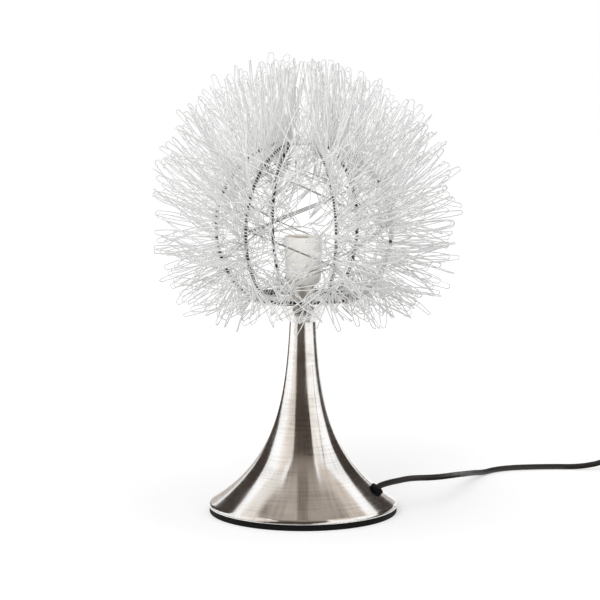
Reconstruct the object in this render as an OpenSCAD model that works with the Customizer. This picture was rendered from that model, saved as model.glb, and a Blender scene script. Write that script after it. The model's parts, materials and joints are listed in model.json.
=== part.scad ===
// Table lamp: a ball of bent wire loops standing on a flared, weighted metal base.
// The origin is on the table under the middle of the base, +Z is up, and the cord leaves toward +X.

/* [Base] */
// Diameter of the base at its rim
base_d = 180; // [160:1:220]
// Height of the flared base above its foot
base_h = 177; // [140:1:240]
// Thickness of the black foot pad
foot_h = 5.7; // [3:0.1:9]
// How far the rim stands out past the foot pad
foot_inset = 0.6; // [0.2:0.1:3]
// Height of the rolled lip round the rim
lip_h = 4.1; // [3:0.1:7]
// How far the lip stands out past the flare
lip_step = 1.2; // [0.6:0.1:2.5]
// Diameter of the neck
neck_d = 25.6; // [23:0.2:32]
// Length over which the flare dies away toward the neck
flare_len = 49.5; // [42:0.5:60]
// Thickness of the spun sheet metal
sheet_t = 1.2; // [0.8:0.1:2]
// Height of the iron ballast
ballast_h = 12; // [11:0.5:18]

/* [Stem and dish] */
// Outer diameter of the threaded tube
tube_d = 10; // [9:0.5:12]
// Bore of the threaded tube
tube_bore = 7.2; // [6.6:0.1:8]
// Width across the flats of the lower nut
low_nut_w = 17; // [15:1:19]
// Thickness of the lower nut
low_nut_t = 5; // [4:0.5:6]
// Thickness of the lower washer
washer_t = 1.5; // [1:0.1:2]
// Width across the flats of the nut in the dish
dish_nut_w = 14; // [13:0.5:15]
// Thickness of the nut in the dish
dish_nut_t = 4.5; // [3:0.5:6]
// Diameter of the shade dish at its rim
dish_d = 108; // [90:1:120]
// Height of the shade dish
dish_h = 20.8; // [16:0.2:30]
// Length over which the dish flares out
dish_flare = 14; // [9:0.5:20]

/* [Lampholder] */
// Height of the metal collar under the lampholder
collar_h = 33.3; // [26:0.1:45]
// Diameter of the metal collar
collar_d = 21; // [20:0.2:25]
// Wall of the metal collar
collar_t = 1.2; // [0.8:0.1:1.4]
// Diameter of the lampholder at its foot
holder_low_d = 27; // [25:0.5:30]
// Diameter of the lampholder where its cap meets its skirt
holder_mid_d = 34; // [33.6:0.1:36]
// Diameter of the lampholder at its mouth
holder_top_d = 36; // [34:0.5:40]
// Height of the lampholder's cap
cap_h = 15; // [13:0.5:20]
// Height of the lampholder's skirt
skirt_h = 31.2; // [28:0.2:40]
// Wall of the skirt where it is thinnest
skirt_t = 1.4; // [1:0.1:1.6]
// Thickness of the insulating core
core_t = 10; // [7:0.5:12]
// Bore of the brass screw shell
socket_d = 26.8; // [26:0.1:27.5]
// Wall of the brass screw shell
socket_t = 0.5; // [0.3:0.05:0.7]
// Depth of the mouth above the screw shell
mouth_depth = 2; // [1:0.5:4]

/* [Shade cage] */
// Diameter of the cage at its widest
cage_d = 167; // [150:1:180]
// Height from the bottom ring to the top ring
cage_h = 145.5; // [130:0.5:160]
// Diameter of the top ring
top_ring_d = 41.2; // [36:0.2:60]
// Thickness of the black cage rods
rod_d = 2.8; // [2:0.1:4]
// Direction of the first rib, in degrees from +X
rib_phase = -9; // [-30:1:30]

/* [Shade wires] */
// Diameter of the ball of loops at its middle
ball_d = 282; // [250:1:310]
// Height of the ball's middle above the cage's widest place
ball_rise = 27; // [15:1:35]
// Thickness of the bright wire
wire_d = 1.1; // [0.8:0.1:1.2]
// Loops in each third of a rib
band_loops = 18; // [10:1:18]
// Width of a loop at its tip
loop_w = 5; // [3:0.5:6]
// How far the loops fan out to each side of a rib, in degrees
fan = 30; // [15:1:31]
// How much longer or shorter than the ball a loop may be
loop_jitter = 4; // [0:0.5:6]
// Ribs that a laced wire passes on its way from one ring to the other
lace_climb = 5; // [4, 5, 7]
// Times that each laced wire climbs or drops inside the ribs
lace_legs = 6; // [2:2:6]

/* [Cord] */
// Thickness of the cord
cord_d = 5.7; // [5:0.1:6]
// Height of the cord's grommet above the table
grommet_z = 23; // [20:0.1:26]
// Direction of the grommet, in degrees from +X
grommet_turn = -13; // [-25:1:10]
// Diameter of the grommet's flange
grommet_d = 13.2; // [11.6:0.2:16]
// Thickness of the grommet's flange
grommet_t = 3.2; // [2:0.1:4]
// Turns of the coiled length
coil_turns = 5; // [3:2:7]
// Diameter of the coil's outer turn, along the cord's middle
coil_d = 90; // [84:1:110]
// Gap between the coil's turns
coil_gap = 0.7; // [0.5:0.1:1.5]
// Thickness of the tie round the coil
tie_t = 1.2; // [0.8:0.1:1.6]
// Width of the tie
tie_w = 4.5; // [3:0.5:7]

/* [Switch and plug] */
// Length of the cord switch
switch_l = 62; // [60:1:64]
// Width of the cord switch
switch_w = 27; // [24:1:32]
// Height of the cord switch
switch_h = 16; // [15:0.5:20]
// Length of the rocker
rocker_l = 19.4; // [16:0.2:22]
// Width of the rocker
rocker_w = 9.8; // [8:0.2:12]
// Diameter of the rocker's pivot
pivot_d = 2.4; // [2:0.1:3]
// Angle that the rocker swings through
rocker_swing = 16; // [10:1:18]
// Width of the plug
plug_w = 35.2; // [33:0.2:37]
// Thickness of the plug
plug_t = 14.5; // [13:0.5:16]
// Length of the plug's body
plug_l = 35; // [30:1:40]
// Length of the plug's tapered cord relief
relief_l = 22; // [20:1:40]
// Diameter of the plug's pins
pin_d = 4; // [3.8:0.1:4.8]
// Length of the plug's pins
pin_l = 19; // [17:0.5:20]
// Distance between the plug's pins
pin_gap = 18.6; // [18:0.1:19]

/* [Fits] */
// Clearance round a rod, tube or cord in its hole
fit = 0.15; // [0.1:0.05:0.3]
// Gap between a moving piece and what it rests on
rest_gap = 0.3; // [0.2:0.05:0.5]
// Gap between the ballast and the sheet metal round it
ballast_gap = 0.6; // [0.4:0.1:0.9]

/* [Hidden] */
$fn = 64;
spread_step = [0.618034, 0.7549, 0.5698];
spread_shift = [0.29, 0.41, 0.17];
spread_ribs = 3;

// Heights of the base
rim_r = base_d / 2;
lip_z = foot_h + lip_h;
neck_z = foot_h + base_h;
hole_r = tube_d / 2 + fit;
profile_steps = 30;
pocket_z = foot_h + foot_inset + low_nut_t + washer_t;
pocket_room = 1.5;
pocket_r = low_nut_w / sqrt(3) + pocket_room;
slot_wall = 6;
slot_room = 3;

// Heights of the stem, the dish and the lampholder
floor_z = neck_z + sheet_t;
rim_z = floor_z + dish_h;
holder_z = floor_z + collar_h;
cap_z = holder_z + cap_h;
mouth_z = cap_z + skirt_h;
core_z = cap_z + core_t;
boss_h = cap_h * 0.55;
tube_top = holder_z + boss_h;
skirt_r = holder_mid_d / 2 - skirt_t;
ledge = 1.6;
contact_d = 8;
contact_t = 3;
terminal_x = 9;
terminal_d = 3.2;
terminal_left = 3;
terminal_end_gap = 1.6;

// The cage: a rib is one arc that meets both rings and stands upright where the cage is widest
ribs = 6;
rib_step = 360 / ribs;
rod_r = rod_d / 2;
ring_r = dish_d / 2;
ring_z = rim_z + rest_gap + rod_r;
cage_r = cage_d / 2;
top_z = ring_z + cage_h;
top_in = cage_r - top_ring_d / 2;
low_in = cage_r - ring_r;
in_ratio = top_in / low_in - 1;
rise_square = pow(cage_h, 2) + top_in * (top_in - low_in);
low_part = (sqrt(pow(cage_h, 2) + in_ratio * rise_square) - cage_h) / in_ratio;
cage_z = ring_z + low_part;
arc_r = (pow(low_part, 2) + pow(low_in, 2)) / (2 * low_in);
arc_x = cage_r - arc_r;
top_turn = atan2(cage_h - low_part, arc_r - top_in);
low_turn = atan2(low_part, arc_r - low_in);
rib_len = arc_r * (top_turn + low_turn) * PI / 180;
weld_gap = 0.2;

// The loops: where their tips lie, by angle from the top, as a share of the ball's radius
BANDS = ["upper", "middle", "lower"];
ball_r = ball_d / 2;
ball_z = cage_z + ball_rise;
ball_shape = [[0, 0.93], [35, 0.94], [60, 0.98], [90, 1], [122, 1.06], [150, 0.91], [160, 0.87]];
tip_top_angle = 7;
tip_low_angle = 152;
twist_angle = 40;
rib_margin = 4;

// The gap between two ribs at the front stays open, so their loops there lean away from it
front_ribs = [4, 5];
front_top_angle = 64;
front_low_angle = 92;
front_lean = 0.3;
wire_r = wire_d * 0.55;
loops = band_loops * len(BANDS);
loop_pitch = (rib_len - 2 * rib_margin) / loops;
lace_margin = 9;
lace_seat = rod_r + 2 * wire_r;
lace_gap = 0.9;
lace_apart = 2 * wire_r + lace_gap;

// The grommet sits square on the flare
function flare_r(z) = let (h = neck_z - lip_z, e = exp(-h / flare_len))
    neck_d / 2 + (rim_r - lip_step - neck_d / 2) * (exp((lip_z - z) / flare_len) - e) / (1 - e);
function flare_slope(z) = (flare_r(z + 0.1) - flare_r(z - 0.1)) / 0.2;
function inner_r(z) = flare_r(z) - sheet_t * sqrt(1 + pow(flare_slope(z), 2));
grommet_tilt = atan2(1, -flare_slope(grommet_z));
grommet_out = polar(sin(grommet_tilt), grommet_turn, cos(grommet_tilt));
grommet_at = polar(flare_r(grommet_z), grommet_turn, grommet_z);
grommet_neck_r = cord_d / 2 + 1.6;
grommet_seat = 0.5;
grommet_grip = 2.2;

// The cord's routes, in chosen points
cord_r = cord_d / 2;
cord_sides = 8;
lead_route = [[80, -17, 30], [90, -15.4, 32], [98.6, -12, 33], [108.4, -5.7, 32.6], [118.5, 3.5, 31],
    [128, 16, 29], [139, 37, 25.7], [150, 67, 20.8], [163, 112, 12.7], [175, 144, 7.2], [187.6, 167, 3.4],
    [200, 182, 2.9], [216, 191, 2.9], [238, 196, 2.9], [262, 198, 2.9], [288, 197, 3.4], [305, 196, 6]];
inner_route = [[56, 10.6], [46, 10], [34, 14], [22, 23], [11, 35], [3, 50], [0, 68]];
link_route = [[398, 195.5, 7.4], [417, 188, 6], [430, 173, 5], [437, 155, 4.5]];
tail_route = [[437, 96, 10], [437, 78, 8]];
coil_at = [392, 118];
switch_at = [350, 196];
plug_at = [437, 60];

// The coil: its two layers, with the climb in the half turn where the spiral reverses
coil_r = coil_d / 2;
turn_step = cord_d + coil_gap;
coil_z = tie_t + rest_gap + cord_r;
ring_count = 24;
coil_sides = 6;
reverse_at = coil_turns / 2;
function coil_turn_r(t) = coil_r - turn_step * (t < reverse_at ? t : coil_turns - t);
function coil_turn_z(t) = coil_z + turn_step * min(1, max(0, (t - reverse_at) * 2 + 0.5));
coil_top_z = coil_z + turn_step;
coil_in_r = coil_r - turn_step * reverse_at;

// The switch and the plug
half_h = switch_h / 2;
pivot_rise = 4.5;
pivot_z = half_h + pivot_rise;
pivot_l = rocker_w + 4;
pivot_end_gap = 1;
window_gap = 0.9;
window_l = rocker_l + 2 * window_gap;
window_w = rocker_w + 2 * rest_gap;
switch_corner = 9;
case_screw = [22, 8];
case_screw_d = 2.8;
case_head_h = 1.8;
case_floor = 2.5;
pocket_l = 44;
pocket_w = 9;
shoulder = 12;

// Vectors, smooth curves and tubes along a path
function unit(v) = v / norm(v);
function part(x) = x - floor(x);

// The j-th of a row of places from -1 to 1 that fall evenly without a pattern
function spread(j, seed, i) = 2 * part(j * spread_step[i] + seed * spread_shift[i]) - 1;
function polar(r, a, z) = [r * cos(a), r * sin(a), z];

function blend(a, b, c, d, t) = 0.5 * (2 * b + (c - a) * t + (2 * a - 5 * b + 4 * c - d) * t * t
    + (3 * b - a - 3 * c + d) * t * t * t);
function smooth(p, steps) = let (n = len(p) - 1) [
    for (i = [0:n - 1]) for (j = [0:steps - 1])
        blend(p[max(i - 1, 0)], p[i], p[i + 1], p[min(i + 2, n)], j / steps),
    p[n]];

function mitred(ring, at, along, plane) = [for (p = ring) p + along * ((at - p) * plane) / (along * plane)];
function tube_rings(path, r, sides) =
    let (n = len(path) - 1,
        dir = [for (i = [0:n - 1]) unit(path[i + 1] - path[i])],
        side = unit(cross(dir[0], abs(dir[0].z) < 0.9 ? [0, 0, 1] : [1, 0, 0])),
        up = cross(dir[0], side),
        turn = 360 / sides)
    [for (i = 0, ring = [for (k = [0:sides - 1]) path[0] + r * (cos(k * turn) * side + sin(k * turn) * up)];
        i <= n;
        i = i + 1,
        plane = i < n ? unit(dir[i - 1] + dir[i]) : dir[n - 1],
        ring = i > n ? ring : mitred(ring, path[i], dir[i - 1], plane))
        ring];

module tube(path, r, sides) {
    points = [for (ring = tube_rings(path, r, sides)) each ring];
    top = (len(path) - 1) * sides;
    walls = [for (i = [0:len(path) - 2]) for (k = [0:sides - 1])
        let (a = i * sides + k, b = i * sides + (k + 1) % sides)
        each [[a, a + sides, b + sides], [a, b + sides, b]]];
    ends = [for (k = [1:sides - 2]) each [[0, k, k + 1], [top, top + k + 1, top + k]]];
    polyhedron(points, concat(walls, ends));
}

// The least gap of a tube to itself, measured between points of its path that are far apart along it
function filled(path, n) = [for (i = [0:len(path) - 2]) for (j = [0:n - 1])
    path[i] + (path[i + 1] - path[i]) * j / n];
function lengths(p) = let (n = len(p) - 1)
    [for (i = 0, s = 0; i <= n; s = s + (i < n ? norm(p[i + 1] - p[i]) : 0), i = i + 1) s];
function least_gap(p, apart, d) = let (s = lengths(p), n = len(p) - 1)
    min([for (i = [0:n - 1]) for (j = [i + 1:n]) if (s[j] - s[i] > apart) norm(p[j] - p[i])]) - d;

// Shapes used more than once
module hex_nut(width, t) {
    difference() {
        cylinder(d = width * 2 / sqrt(3), h = t, $fn = 6);
        translate([0, 0, -1]) cylinder(r = hole_r, h = t + 2);
    }
}

module at_grommet() {
    translate(grommet_at) rotate([0, grommet_tilt, grommet_turn]) children();
}

function rounded(l, w, r) = let (steps = 5) [for (q = [0:3]) for (j = [0:steps])
    let (a = 90 * (q + j / steps), sx = q == 0 || q == 3 ? 1 : -1, sy = q < 2 ? 1 : -1)
    [sx * (l / 2 - r) + r * cos(a), sy * (w / 2 - r) + r * sin(a)]];

module at_switch() {
    translate([switch_at.x, switch_at.y, 0]) children();
}

module at_case_screws() {
    for (s = [-1, 1]) at_switch() translate([s * case_screw.x, s * case_screw.y, 0]) children();
}

// The base
module foot_pad() {
    color("#1a1a1a") cylinder(r = rim_r - foot_inset, h = foot_h);
}

module base_shell() {
    heights = [for (i = [0:profile_steps]) lip_z + (neck_z - lip_z) * pow(i / profile_steps, 1.5)];
    inside = [for (z = heights) if (z < neck_z - sheet_t) [inner_r(z), z]];
    edge = lip_step * 0.6;
    outline = concat(
        [[rim_r - edge, foot_h], [rim_r, foot_h + edge], [rim_r, lip_z - lip_step]],
        [for (z = heights) [flare_r(z), z]],
        [[hole_r, neck_z], [hole_r, neck_z - sheet_t], [neck_d / 2 - sheet_t, neck_z - sheet_t]],
        [for (i = [len(inside) - 1:-1:0]) inside[i]],
        [[inside[0].x, foot_h]]);
    color("#b9b0a6") difference() {
        rotate_extrude() polygon(outline);
        at_grommet() cylinder(r = grommet_neck_r + fit, h = 6 * sheet_t, center = true);
    }
}

module ballast() {
    top = foot_h + ballast_h;
    side = inner_r(lip_z) - ballast_gap;
    outline = [[hole_r, top], [inner_r(top) - ballast_gap, top], [side, lip_z], [side, foot_h],
        [pocket_r, foot_h], [pocket_r, pocket_z], [hole_r, pocket_z]];
    slot_from = pocket_r + slot_wall;
    slot_w = 2 * grommet_neck_r + slot_room;
    color("#3b3b3d") difference() {
        rotate_extrude() polygon(outline);
        rotate([0, 0, grommet_turn]) translate([slot_from, -slot_w / 2, foot_h - 1])
            cube([rim_r, slot_w, ballast_h + 2]);
    }
}

module lower_washer() {
    color("#c8c8c4") translate([0, 0, pocket_z - washer_t]) difference() {
        cylinder(d = low_nut_w, h = washer_t);
        translate([0, 0, -1]) cylinder(r = hole_r, h = washer_t + 2);
    }
}

module lower_nut() {
    color("#c8c8c4") translate([0, 0, pocket_z - washer_t - low_nut_t]) hex_nut(low_nut_w, low_nut_t);
}

// The stem, the dish and the lampholder
module stem_tube() {
    low = pocket_z - washer_t - low_nut_t;
    slot_w = cord_d + 2 * fit;
    slot_low = foot_h + ballast_h + 4;
    slot_h = 50;
    color("#c9c2b4") difference() {
        translate([0, 0, low]) cylinder(d = tube_d, h = tube_top - low);
        translate([0, 0, low - 1]) cylinder(d = tube_bore, h = tube_top - low + 2);
        rotate([0, 0, grommet_turn]) translate([0, -slot_w / 2, slot_low]) cube([tube_d, slot_w, slot_h]);
    }
}

module shade_dish() {
    e = exp(-dish_h / dish_flare);
    function dish_r(v) = neck_d / 2 + (ring_r - neck_d / 2) * (exp((v - dish_h) / dish_flare) - e) / (1 - e);
    under = [for (i = [0:profile_steps]) let (v = dish_h * i / profile_steps) [dish_r(v), neck_z + v]];
    outline = concat([[hole_r, neck_z]], under,
        [for (i = [profile_steps:-1:0]) under[i] + [0, sheet_t]], [[hole_r, floor_z]]);
    color("#c9bdb2") rotate_extrude() polygon(outline);
}

module dish_nut() {
    color("#c8c8c4") translate([0, 0, floor_z]) hex_nut(dish_nut_w, dish_nut_t);
}

module holder_collar() {
    color("#a49a90") translate([0, 0, floor_z]) difference() {
        cylinder(d = collar_d, h = collar_h);
        translate([0, 0, -1]) cylinder(d = collar_d - 2 * collar_t, h = collar_h - collar_t + 1);
        cylinder(r = hole_r, h = collar_h + 1);
    }
}

module holder_cap() {
    color("#efe6d6") translate([0, 0, holder_z]) difference() {
        cylinder(d1 = holder_low_d, d2 = holder_mid_d, h = cap_h);
        translate([0, 0, -1]) cylinder(r = hole_r, h = cap_h + 2);
        translate([0, 0, boss_h])
            cylinder(r1 = holder_low_d / 2 - skirt_t, r2 = skirt_r - ledge, h = cap_h - boss_h + 0.01);
    }
}

module holder_skirt() {
    color("#f3ebdc") translate([0, 0, cap_z]) difference() {
        cylinder(d1 = holder_mid_d, d2 = holder_top_d, h = skirt_h);
        translate([0, 0, -1]) cylinder(r = skirt_r, h = skirt_h + 2);
    }
}

module holder_core() {
    color("#e9e2d2") translate([0, 0, cap_z]) difference() {
        cylinder(r = skirt_r - fit, h = core_t);
        for (s = [-1, 1]) translate([s * terminal_x, 0, -1])
            cylinder(d = terminal_d + 2 * fit, h = core_t - terminal_left + 1);
        translate([0, 0, core_t - contact_t - fit]) cylinder(d = contact_d + 2 * fit, h = contact_t + 1);
    }
}

module screw_shell() {
    color("#c9a85c") translate([0, 0, core_z]) difference() {
        cylinder(d = socket_d + 2 * socket_t, h = mouth_z - mouth_depth - core_z);
        translate([0, 0, -1]) cylinder(d = socket_d, h = skirt_h);
    }
}

module centre_contact() {
    color("#c9a85c") translate([0, 0, core_z - contact_t - fit]) {
        cylinder(d = contact_d, h = contact_t / 2);
        translate([0, 0, contact_t / 2]) cylinder(d1 = contact_d, d2 = contact_d / 2, h = contact_t / 2);
    }
}

module terminal_screws() {
    head_t = 1.6;
    color("#c9a85c") for (s = [-1, 1]) translate([s * terminal_x, 0, cap_z - head_t]) {
        cylinder(d = terminal_d * 1.6, h = head_t);
        cylinder(d = terminal_d, h = head_t + core_t - terminal_left - terminal_end_gap);
    }
}

module inner_cord() {
    straight = 7;
    bends = [for (p = inner_route) polar(p.x, grommet_turn, p.y)];
    path = concat([grommet_at - grommet_out * fit, grommet_at - grommet_out * straight], smooth(bends, 2),
        [[0, 0, tube_top]]);
    color("#161616") tube(path, cord_r, cord_sides);
}

module cord_grommet() {
    edge = 1;
    lip = 0.8;
    bore = cord_r + fit;
    flange = grommet_d / 2;
    top = grommet_seat + grommet_t;
    under = -sheet_t - 2 * grommet_seat;
    profile = [[bore, top], [flange - edge, top], [flange, top - edge], [flange, grommet_seat],
        [grommet_neck_r, grommet_seat], [grommet_neck_r, under], [grommet_neck_r + lip, under],
        [grommet_neck_r - lip / 2, under - grommet_grip], [bore, under - grommet_grip]];
    color("#121212") at_grommet() rotate_extrude() polygon(profile);
}

// The cage of black rods
module cage_ring(r, z) {
    color("#151515") translate([0, 0, z]) rotate_extrude() translate([r, 0]) circle(rod_r);
}

module cage_bottom_ring() {
    cage_ring(ring_r, ring_z);
}

module cage_top_ring() {
    cage_ring(top_ring_d / 2, top_z);
}

module cage_ribs() {
    stop = (rod_r + weld_gap) / arc_r * 180 / PI;
    color("#151515") for (k = [0:ribs - 1])
        rotate([0, 0, rib_phase + k * rib_step]) translate([arc_x, 0, cage_z]) rotate([90, 0, 0])
            rotate([0, 0, stop - low_turn]) rotate_extrude(angle = top_turn + low_turn - 2 * stop)
                translate([arc_r, 0]) circle(rod_r);
}

// A place on a rib, by length from its top, moved off its middle line along the outward normal
function on_rib(s, off, az) = let (a = top_turn - s / arc_r * 180 / PI)
    polar(arc_x + (arc_r + off) * cos(a), az, cage_z + (arc_r + off) * sin(a));

// One wire laced straight from rib to rib inside the cage, up and down by turns, each way on its own layer
module lacing(way, layer) {
    step = (rib_len - 2 * lace_margin) / lace_climb;
    path = [for (leg = [0:lace_legs - 1]) for (i = [0:lace_climb])
        let (down = leg % 2,
            s = lace_margin + step * (down == 1 ? i : lace_climb - i),
            off = lace_seat + (layer + down) * lace_apart)
        on_rib(s, -off, rib_phase + way * (leg * lace_climb + i) * rib_step)];
    echo(lacing_gap = least_gap(filled(path, 12), 3 * wire_d, 2 * wire_r));
    color("#d9dcde") tube(path, wire_r, 3);
}

module lacing_wire_right() {
    lacing(1, 0);
}

module lacing_wire_left() {
    lacing(-1, 2);
}

// Which way a rib's loops lean, and a place across the fan, -1 to 1, leant that way
function lean_way(k, polar_angle) = polar_angle < front_top_angle || polar_angle > front_low_angle ? 0
    : k == front_ribs[0] ? -1 : k == front_ribs[1] ? 1 : 0;
function leant(place, way) = place + front_lean * (way - place * abs(way));

// One unbroken wire that runs along a third of a rib and goes out to the ball's edge in narrow loops
function loop_points(j, k) =
    let (seed = k % spread_ribs,
        az = rib_phase + k * rib_step,
        seat = rod_r + 2 * wire_r,
        s = rib_margin + (j + 0.5) * loop_pitch,
        polar_angle = tip_top_angle + (tip_low_angle - tip_top_angle) * (j + 0.5) / loops,
        tip_az = az + fan * leant(spread(j, seed, 0), lean_way(k, polar_angle)),
        longer = loop_jitter * spread(j, seed, 1),
        reach = ball_r * lookup(polar_angle, ball_shape) + longer,
        turn = twist_angle * spread(j, seed, 2),
        down = polar(cos(polar_angle), tip_az, -sin(polar_angle)),
        across = polar(1, tip_az + 90, 0),
        tip = [0, 0, ball_z] + reach * polar(sin(polar_angle), tip_az, cos(polar_angle)),
        half = (cos(turn) * down + sin(turn) * across) * loop_w / 2)
    [on_rib(s - loop_pitch / 4, seat, az), tip - half, tip + half, on_rib(s + loop_pitch / 4, seat, az)];

module wire_loops(k, band) {
    path = [for (j = [band * band_loops:(band + 1) * band_loops - 1])
        each loop_points(j, k)];
    if (k == 0 || k == front_ribs[0] || k == front_ribs[1])
        echo(wire_gap = least_gap(filled(path, 10), 3 * wire_d, 2 * wire_r));
    color("#d4d7da") tube(path, wire_r, 3);
}

// The cord, its coil and what is on it
module cord_lead() {
    stub = grommet_seat + grommet_t + 1;
    clear = grommet_at + grommet_out * stub;
    end = [switch_at.x - switch_l / 2 - fit, switch_at.y, half_h];
    bends = smooth(concat([clear], lead_route, [end - [cord_d, 0, 0]]), 2);
    color("#141414") tube(concat([grommet_at + grommet_out * fit], bends, [end]), cord_r, cord_sides);
}

coil_start = [coil_at.x + coil_r, coil_at.y, coil_z];
coil_end = [coil_at.x + coil_r, coil_at.y, coil_top_z];

module cord_link() {
    start = [switch_at.x + switch_l / 2 + fit, switch_at.y, half_h];
    bends = smooth(concat([start + [cord_d, 0, 0]], link_route, [coil_start + [0, 2 * cord_d, 0]]), 2);
    path = concat([start], bends, [coil_start + [0, cord_d + fit, 0]]);
    color("#141414") tube(path, cord_r, cord_sides);
}

module cord_coil() {
    turns = [for (i = [0:coil_turns * ring_count]) let (t = i / ring_count)
        [coil_at.x, coil_at.y, 0] + polar(coil_turn_r(t), -360 * t, coil_turn_z(t))];
    path = concat([coil_start + [0, cord_d, 0]], turns, [coil_end - [0, cord_d, 0]]);
    echo(coil_gap_measured = least_gap(turns, 3 * cord_d, cord_d));
    color("#141414") tube(path, cord_r, coil_sides);
}

module cord_tail() {
    end = [plug_at.x, plug_at.y + fit, plug_t / 2];
    bends = smooth(concat([coil_end - [0, 2 * cord_d, 0]], tail_route, [end + [0, cord_d, 0]]), 2);
    color("#141414") tube(concat([coil_end - [0, cord_d + fit, 0]], bends, [end]), cord_r, cord_sides);
}

module coil_tie() {
    inside = coil_in_r - cord_r - rest_gap;
    outside = coil_turn_r(0.5) + cord_r + rest_gap;
    top = coil_top_z + cord_r + rest_gap;
    lock = [7, tie_w + 2, 3.5];
    color("#101010") translate([coil_at.x, coil_at.y, 0]) {
        difference() {
            translate([-outside - tie_t, -tie_w / 2, 0])
                cube([outside - inside + 2 * tie_t, tie_w, top + tie_t]);
            translate([-outside, -tie_w, tie_t]) cube([outside - inside, 2 * tie_w, top - tie_t]);
        }
        translate([-(inside + outside) / 2 - lock.x / 2, -lock.y / 2, top + tie_t / 2]) cube(lock);
    }
}

module switch_lower_case() {
    color("#1b1b1b") difference() {
        at_switch() linear_extrude(half_h) polygon(rounded(switch_l, switch_w, switch_corner));
        at_switch() translate([-pocket_l / 2, -pocket_w / 2, case_floor])
            cube([pocket_l, pocket_w, switch_h]);
        at_case_screws() translate([0, 0, -1]) cylinder(d = case_screw_d + 2 * fit, h = switch_h);
        at_case_screws() translate([0, 0, -1]) cylinder(d = 2 * case_screw_d, h = case_head_h + 1);
    }
}

module switch_upper_case() {
    edge = 3;
    color("#1b1b1b") difference() {
        at_switch() hull() {
            translate([0, 0, half_h]) linear_extrude(half_h - edge)
                polygon(rounded(switch_l, switch_w, switch_corner));
            translate([0, 0, switch_h - 0.5]) linear_extrude(0.5)
                polygon(rounded(switch_l - 2 * edge, switch_w - 2 * edge, switch_corner - edge));
        }
        at_switch() translate([-window_l / 2, -window_w / 2, 0]) cube([window_l, window_w, 2 * switch_h]);
        at_switch() translate([0, 0, pivot_z]) rotate([90, 0, 0])
            cylinder(d = pivot_d + 2 * rest_gap, h = pivot_l + 2 * pivot_end_gap, center = true);
        at_case_screws() cylinder(d = case_screw_d + 2 * fit, h = half_h + 4);
    }
}

module switch_screws() {
    sunk = 0.3;
    bite = 3;
    color("#a8a8a8") at_case_screws() translate([0, 0, sunk]) {
        cylinder(d = 2 * case_screw_d - 2 * fit, h = case_head_h - sunk);
        cylinder(d = case_screw_d, h = half_h + bite);
    }
}

module switch_contacts() {
    blade = [13, 6, 1.2];
    color("#c9a85c") for (s = [-1, 1]) at_switch() translate([s * pocket_l / 4, 0, case_floor]) {
        translate([-blade.x / 2, -blade.y / 2, 0]) cube(blade);
        translate([-s * blade.x / 2 - blade.z / 2, -blade.y / 2, 0]) cube([blade.z, blade.y, 3]);
    }
}

module switch_rocker() {
    l = rocker_l / 2;
    profile = [[-l, 0.8], [-l, 3.6], [0, 2.6], [l, 3.6], [l, 0.8], [l * 0.6, -3], [-l * 0.6, -3]];
    color("#2a2a2a") at_switch() translate([0, 0, pivot_z]) rotate([90, rocker_swing / 2, 0]) {
        linear_extrude(rocker_w, center = true) polygon(profile);
        cylinder(d = pivot_d, h = pivot_l, center = true);
    }
}

module plug_body() {
    grip = relief_l + plug_l;
    w = plug_w / 2;
    nose = 4.5;
    side = [[w * 0.42, relief_l], [w, relief_l + shoulder], [w, grip - 9], [w - nose, grip]];
    plan = concat([for (p = side) [p.x, -p.y]], [for (i = [3:-1:0]) [-side[i].x, -side[i].y]]);
    color("#181818") translate([plug_at.x, plug_at.y, 0]) {
        linear_extrude(plug_t) polygon(plan);
        translate([0, 0, plug_t / 2]) rotate([90, 0, 0])
            cylinder(r1 = cord_r + 1, r2 = plug_t / 2 - 1, h = relief_l + 1);
    }
}

module plug_pins() {
    tip = 1.5;
    color("#cfcfcb") for (s = [-1, 1])
        translate([plug_at.x + s * pin_gap / 2, plug_at.y - relief_l - plug_l, plug_t / 2])
            rotate([90, 0, 0]) {
                cylinder(d = pin_d, h = pin_l - tip);
                translate([0, 0, pin_l - tip]) cylinder(d1 = pin_d, d2 = pin_d * 0.6, h = tip);
            }
}

foot_pad();
base_shell();
ballast();
lower_washer();
lower_nut();
stem_tube();
shade_dish();
dish_nut();
holder_collar();
holder_cap();
holder_skirt();
holder_core();
screw_shell();
centre_contact();
terminal_screws();
inner_cord();
cord_grommet();
cage_bottom_ring();
cage_top_ring();
cage_ribs();
lacing_wire_right();
lacing_wire_left();
for (k = [1:ribs]) for (b = [0:len(BANDS) - 1])
    wire_loops(k - 1, b);
cord_lead();
cord_link();
cord_coil();
cord_tail();
coil_tie();
switch_lower_case();
switch_upper_case();
switch_screws();
switch_contacts();
switch_rocker();
plug_body();
plug_pins();
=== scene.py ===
"""Dresses a packed table lamp: a spun trumpet base, a caged ball of wire loops, a cord, and a white stage."""
import json
import math
import random

import bpy
from bpy.props import FloatProperty, FloatVectorProperty, IntProperty, PointerProperty
from mathutils import Matrix, Vector

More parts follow.
